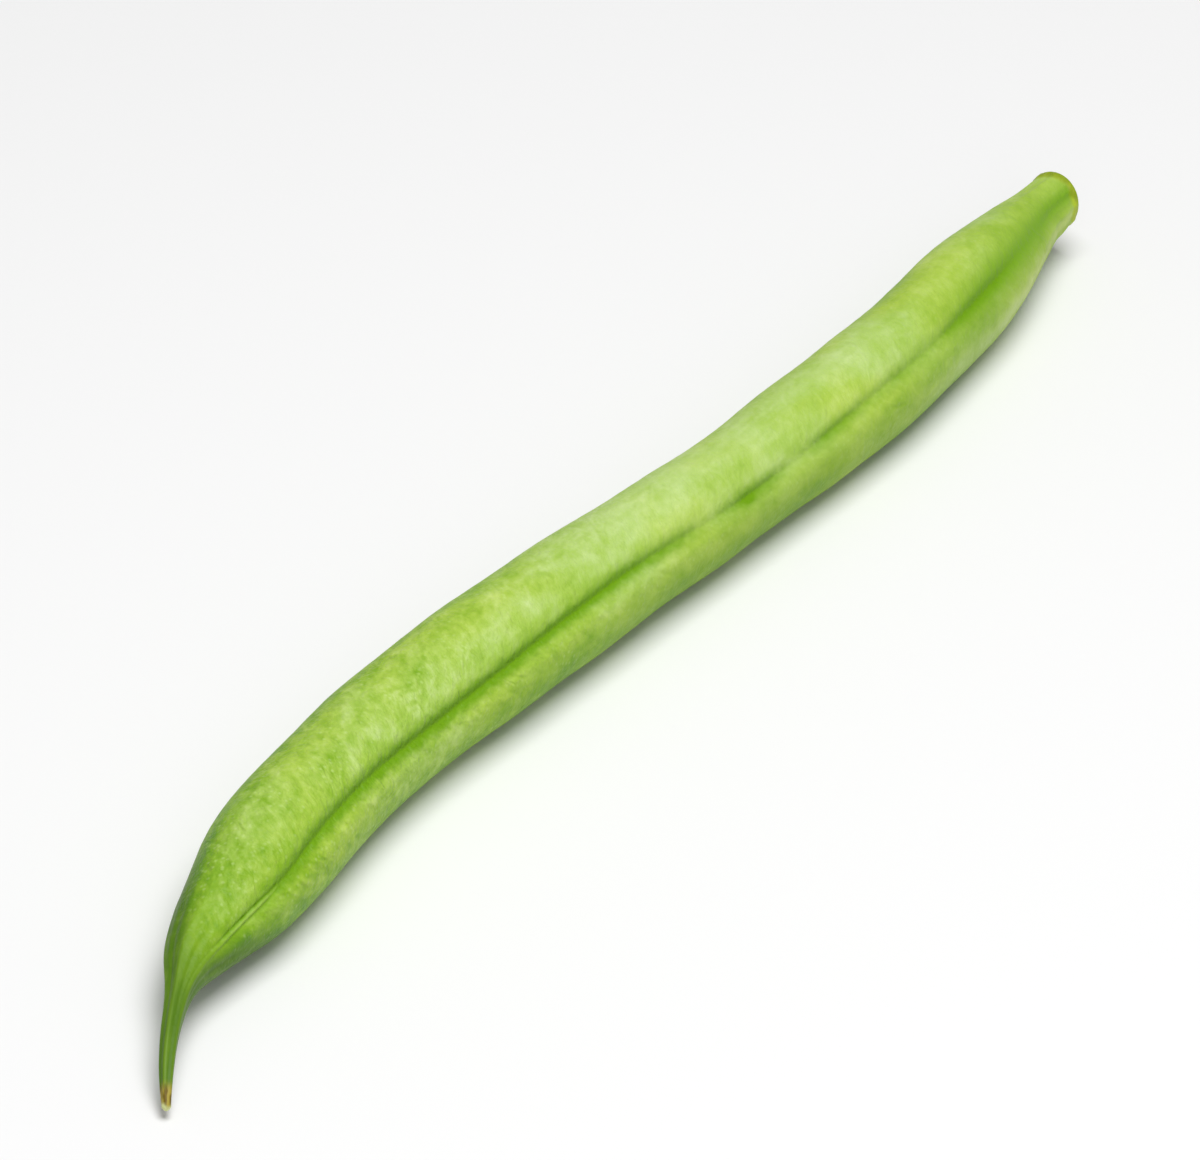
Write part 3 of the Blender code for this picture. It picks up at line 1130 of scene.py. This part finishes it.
# %% Put the pod on the frame
mesh.attributes.remove(mesh.attributes["station"])
mesh.shade_smooth()
pod_skin = bpy.data.objects.new("pod_skin", mesh)
bpy.context.scene.collection.objects.link(pod_skin)
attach(pod_skin, "root")
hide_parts("pod")
solid.free()
print("pod_skin stands for pod")

# %% [markdown]
# ## The table
#
# A plain pale table, large enough that its edge is never seen. It isn't part of the bean, so it is
# marked as stage.

# %% The table
TABLE_SIZE = 3.0
TABLE_WHITE = (0.82, 0.82, 0.82)
table_bm = bmesh.new()
bmesh.ops.create_grid(table_bm, x_segments=1, y_segments=1, size=TABLE_SIZE / 2)
table_mesh = bpy.data.meshes.new("table")
table_bm.to_mesh(table_mesh)
table_bm.free()
table_white = bpy.data.materials.new("table_white")
table_white.use_nodes = True
table_shader = table_white.node_tree.nodes["Principled BSDF"]
table_shader.inputs["Base Color"].default_value = (*TABLE_WHITE, 1)
table_shader.inputs["Roughness"].default_value = 0.6
table_mesh.materials.append(table_white)
table = bpy.data.objects.new("table", table_mesh)
bpy.context.scene.collection.objects.link(table)
table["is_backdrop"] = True
print("a table", TABLE_SIZE, "m wide")

# %% [markdown]
# ## Light
#
# A soft studio: one large lamp straight above, a weaker one in front, and white all round. The
# upper lamp gives the bean its form and a soft shadow where it touches the table. The one in front
# and the white surroundings keep that shadow light, and fill the seam. The lamps are placed by the
# camera's directions, so those come first.

# %% The camera's directions
CAMERA_AZIMUTH = math.radians(-61.4)
CAMERA_ELEVATION = math.radians(32.8)
towards_camera = Vector(
    (
        math.sin(CAMERA_AZIMUTH) * math.cos(CAMERA_ELEVATION),
        -math.cos(CAMERA_AZIMUTH) * math.cos(CAMERA_ELEVATION),
        math.sin(CAMERA_ELEVATION),
    )
)
camera_right = Vector((math.cos(CAMERA_AZIMUTH), math.sin(CAMERA_AZIMUTH), 0))
up = Vector((0, 0, 1))
away = up.cross(camera_right)
middle = (pod_low + pod_high) / 2
pod_length = pod_high.x - pod_low.x
print("the camera looks from", [round(part, 2) for part in towards_camera])


# %% Lamps
def area_lamp(name, direction, distance, size, watts):
    """A square lamp that far from the pod's middle, facing it."""
    data = bpy.data.lights.new(name, "AREA")
    data.shape = "SQUARE"
    data.size = size
    data.energy = watts
    lamp = bpy.data.objects.new(name, data)
    direction = direction.normalized()
    lamp.location = middle + direction * distance
    lamp.rotation_euler = direction.to_track_quat("Z", "Y").to_euler()
    bpy.context.scene.collection.objects.link(lamp)
    return lamp


above = up - 0.12 * away + 0.12 * camera_right
in_front = 0.6 * up - away + 0.1 * camera_right
area_lamp("key_lamp", above, distance=0.6, size=0.42, watts=3.7)
area_lamp("front_lamp", in_front, distance=0.8, size=0.5, watts=1.1)
ROOM_STRENGTH = 0.26
world = bpy.data.worlds.new("white_studio")
world.use_nodes = True
world.node_tree.nodes["Background"].inputs["Color"].default_value = (1, 1, 1, 1)
world.node_tree.nodes["Background"].inputs["Strength"].default_value = ROOM_STRENGTH
bpy.context.scene.world = world
bpy.context.scene.view_settings.view_transform = "Standard"
print("two lamps and a white room")

# %% [markdown]
# ## Camera
#
# The camera looks down at the table from the beak's side, from far enough away that the beak and
# the neck are seen at nearly the same scale. The lens is worked out from the width of what it
# should see, so that the pod fills most of the picture. A small roll turns the pod a little.

# %% The camera
CAMERA_DISTANCE = 4.76 * pod_length
PICTURE_WIDTH = 0.64 * pod_length  # how much is seen from side to side at the pod's middle
CAMERA_ROLL = math.radians(3.2)
camera_data = bpy.data.cameras.new("camera")
camera_data.lens = camera_data.sensor_width * CAMERA_DISTANCE / PICTURE_WIDTH
camera_data.clip_start = 0.01
camera = bpy.data.objects.new("camera", camera_data)
camera.location = middle + towards_camera * CAMERA_DISTANCE
level = towards_camera.to_track_quat("Z", "Y")
camera.rotation_euler = (level @ Quaternion((0, 0, 1), CAMERA_ROLL)).to_euler()
bpy.context.scene.collection.objects.link(camera)
bpy.context.scene.camera = camera
print("a", round(camera_data.lens), "mm lens")

# %% [markdown]
#
# The skin should be as large as the solid it stands for, to within the relief. The high corners
# of both boxes are compared, and how far the skin has grown is printed.

# %% Write the sizes and finish
skin_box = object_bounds()
high_corners = zip(cad_box[1], skin_box[1], strict=True)
print("grown by", [round((skin - cad) / MM, 2) for cad, skin in high_corners], "mm")
